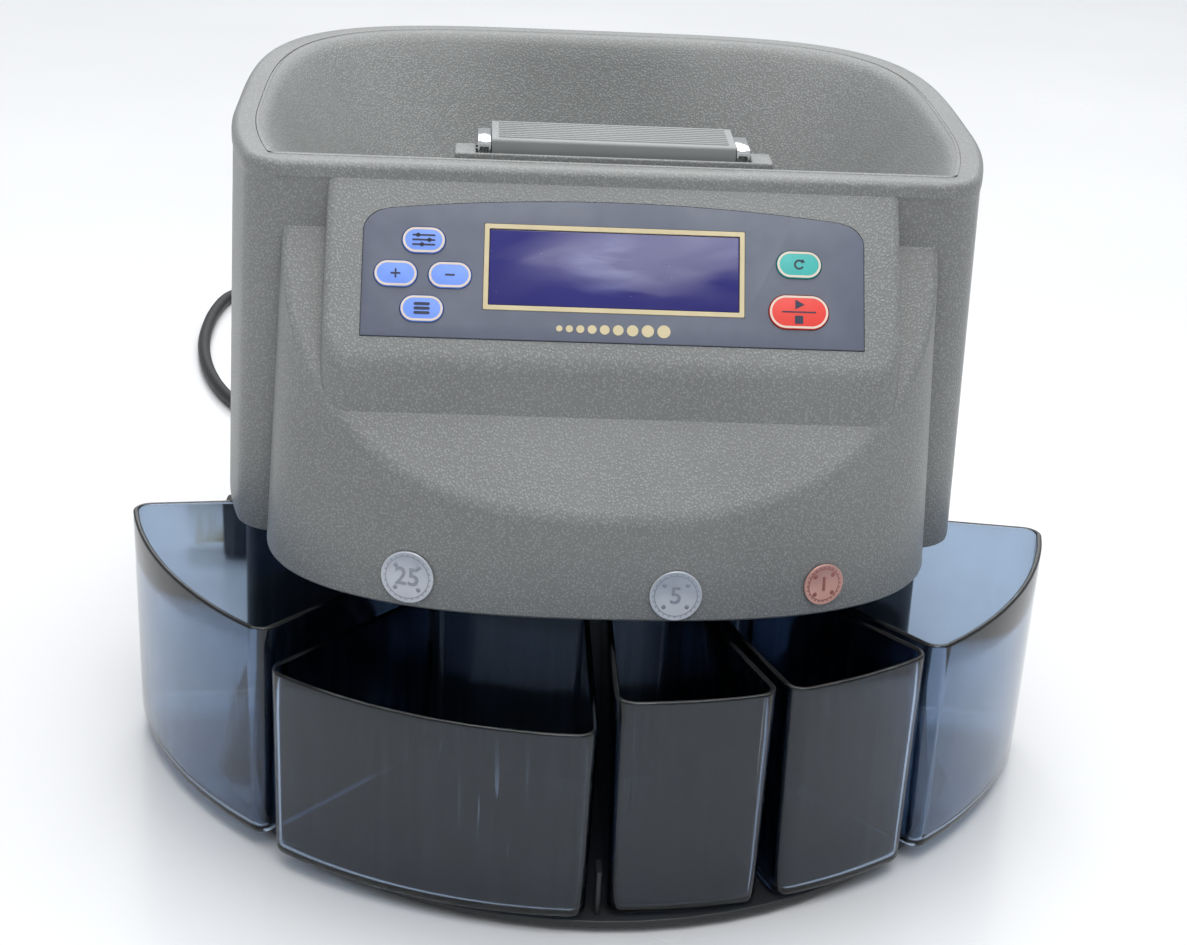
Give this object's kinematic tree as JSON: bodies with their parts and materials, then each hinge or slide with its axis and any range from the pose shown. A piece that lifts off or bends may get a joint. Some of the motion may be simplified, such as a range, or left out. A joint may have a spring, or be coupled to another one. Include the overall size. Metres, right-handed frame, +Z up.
{
  "type": "coin sorting machine",
  "caption": "Desktop coin sorter with an open hopper, sloping keypad and display, a sorting disc inside and pull-out coin bins fanned below.",
  "frame": {"origin": "on the table, under the middle of the machine's width and depth, the cord left out", "axes": "+Z up, -Y towards the operator (console and bins), +X to the operator's right"},
  "size_m": [0.3774, 0.6752, 0.2455],
  "materials": {
    "housing_grey": "fine sparkle grain",
    "handle_grey": "ribbed satin",
    "chrome": "bright",
    "label_slate": "satin film",
    "screen_gold": "satin",
    "screen_blue": "glossy window",
    "module_black": "satin",
    "board_green": "circuit board",
    "key_blue": "satin",
    "key_teal": "satin",
    "key_red": "satin",
    "token_silver": "printed foil sticker",
    "token_copper": "printed foil sticker",
    "smoke_blue": "clear tinted",
    "charcoal": "satin",
    "rubber": "matt",
    "deck_grey": "satin",
    "steel": "satin",
    "gear_cream": "satin",
    "brass": "satin",
    "core_iron": "laminated core"
  },
  "bodies": {
    "frame": {"upper_housing": "housing_grey", "hopper_insert": "housing_grey", "handle_tray": "housing_grey", "label_plate": "label_slate", "display_bezel": "screen_gold", "display_window": "screen_blue", "display_module": "module_black", "keypad_board": "board_green", "main_board": "board_green", "sensor_board": "board_green", "token_25": "token_silver", "token_5": "token_silver", "token_1": "token_copper", "base_plate": "charcoal", "rear_chassis": "charcoal", "rear_cover": "charcoal", "coin_chutes": "charcoal", "bin_post": "charcoal", "foot_front_left": "rubber", "foot_front_right": "rubber", "foot_rear_left": "rubber", "foot_rear_right": "rubber", "cord_gland": "rubber", "cord_to_coil": "rubber", "cord_coil": "rubber", "cord_to_plug": "rubber", "plug_body": "rubber", "deck_plate": "deck_grey", "ring_cover": "deck_grey", "bearing_housing": "deck_grey", "sorting_ring": "steel", "drive_plate": "steel", "bearing_lower": "steel", "bearing_upper": "steel", "motor_bracket": "steel", "drive_motor": "steel", "cover_screw_left": "steel", "cover_screw_right": "steel", "plug_blade_lower": "brass", "plug_blade_upper": "brass", "transformer": "core_iron"},
    "disc": {"sorting_disc": "steel", "disc_gear": "gear_cream", "disc_shaft": "steel"},
    "pinion": {"motor_pinion": "brass"},
    "handle": {"handle_grip": "handle_grey", "handle_end_left": "chrome", "handle_end_right": "chrome"},
    "switch": {"rocker_switch": "rubber"},
    "bin_far_left": {"bin_far_left": "smoke_blue"},
    "bin_front_left": {"bin_front_left": "smoke_blue"},
    "bin_centre": {"bin_centre": "smoke_blue"},
    "bin_right_centre": {"bin_right_centre": "smoke_blue"},
    "bin_far_right": {"bin_far_right": "smoke_blue"},
    "key_menu": {"key_menu": "key_blue"},
    "key_plus": {"key_plus": "key_blue"},
    "key_minus": {"key_minus": "key_blue"},
    "key_batch": {"key_batch": "key_blue"},
    "key_clear": {"key_clear": "key_teal"},
    "key_start_stop": {"key_start_stop": "key_red"}
  },
  "joints": [
    {"name": "bin_far_left_pull", "type": "slide", "parent": "frame", "child": "bin_far_left", "axis": [-0.8788, -0.4772, 0], "range_m": [0, 0.11]},
    {"name": "bin_front_left_pull", "type": "slide", "parent": "frame", "child": "bin_front_left", "axis": [-0.3502, -0.9367, 0], "range_m": [0, 0.11]},
    {"name": "bin_centre_pull", "type": "slide", "parent": "frame", "child": "bin_centre", "axis": [0.1719, -0.9851, 0], "range_m": [0, 0.11]},
    {"name": "bin_right_centre_pull", "type": "slide", "parent": "frame", "child": "bin_right_centre", "axis": [0.503, -0.8643, 0], "range_m": [0, 0.11]},
    {"name": "bin_far_right_pull", "type": "slide", "parent": "frame", "child": "bin_far_right", "axis": [0.8771, -0.4802, 0], "range_m": [0, 0.11]},
    {"name": "key_menu_press", "type": "slide", "parent": "frame", "child": "key_menu", "axis": [0, 0.8271, -0.5621], "range_m": [0, 0.0007], "stiffness_N_per_m": 900, "springref_m": -0.0008},
    {"name": "key_plus_press", "type": "slide", "parent": "frame", "child": "key_plus", "axis": [0, 0.8271, -0.5621], "range_m": [0, 0.0007], "stiffness_N_per_m": 900, "springref_m": -0.0008},
    {"name": "key_minus_press", "type": "slide", "parent": "frame", "child": "key_minus", "axis": [0, 0.8271, -0.5621], "range_m": [0, 0.0007], "stiffness_N_per_m": 900, "springref_m": -0.0008},
    {"name": "key_batch_press", "type": "slide", "parent": "frame", "child": "key_batch", "axis": [0, 0.8271, -0.5621], "range_m": [0, 0.0007], "stiffness_N_per_m": 900, "springref_m": -0.0008},
    {"name": "key_clear_press", "type": "slide", "parent": "frame", "child": "key_clear", "axis": [0, 0.8271, -0.5621], "range_m": [0, 0.0007], "stiffness_N_per_m": 900, "springref_m": -0.0008},
    {"name": "key_start_stop_press", "type": "slide", "parent": "frame", "child": "key_start_stop", "axis": [0, 0.8271, -0.5621], "range_m": [0, 0.0007], "stiffness_N_per_m": 900, "springref_m": -0.0008},
    {"name": "handle_hinge", "type": "hinge", "parent": "frame", "child": "handle", "pos_m": [0, -0.03, 0.2382], "axis": [1, 0, 0], "range_deg": [0, 95]},
    {"name": "disc_spin", "type": "hinge", "parent": "frame", "child": "disc", "pos_m": [0, 0.012, 0.09], "axis": [0, 0, 1], "continuous": true},
    {"name": "pinion_spin", "type": "hinge", "parent": "frame", "child": "pinion", "pos_m": [0, 0.0576, 0.0655], "axis": [0, 0, 1], "continuous": true},
    {"name": "switch_rock", "type": "hinge", "parent": "frame", "child": "switch", "pos_m": [-0.04, 0.1253, 0.056], "axis": [1, 0, 0], "range_deg": [-12, 0]}
  ],
  "couplings": [
    {"joint": "pinion_spin", "follows": "disc_spin", "ratio": -4}
  ]
}
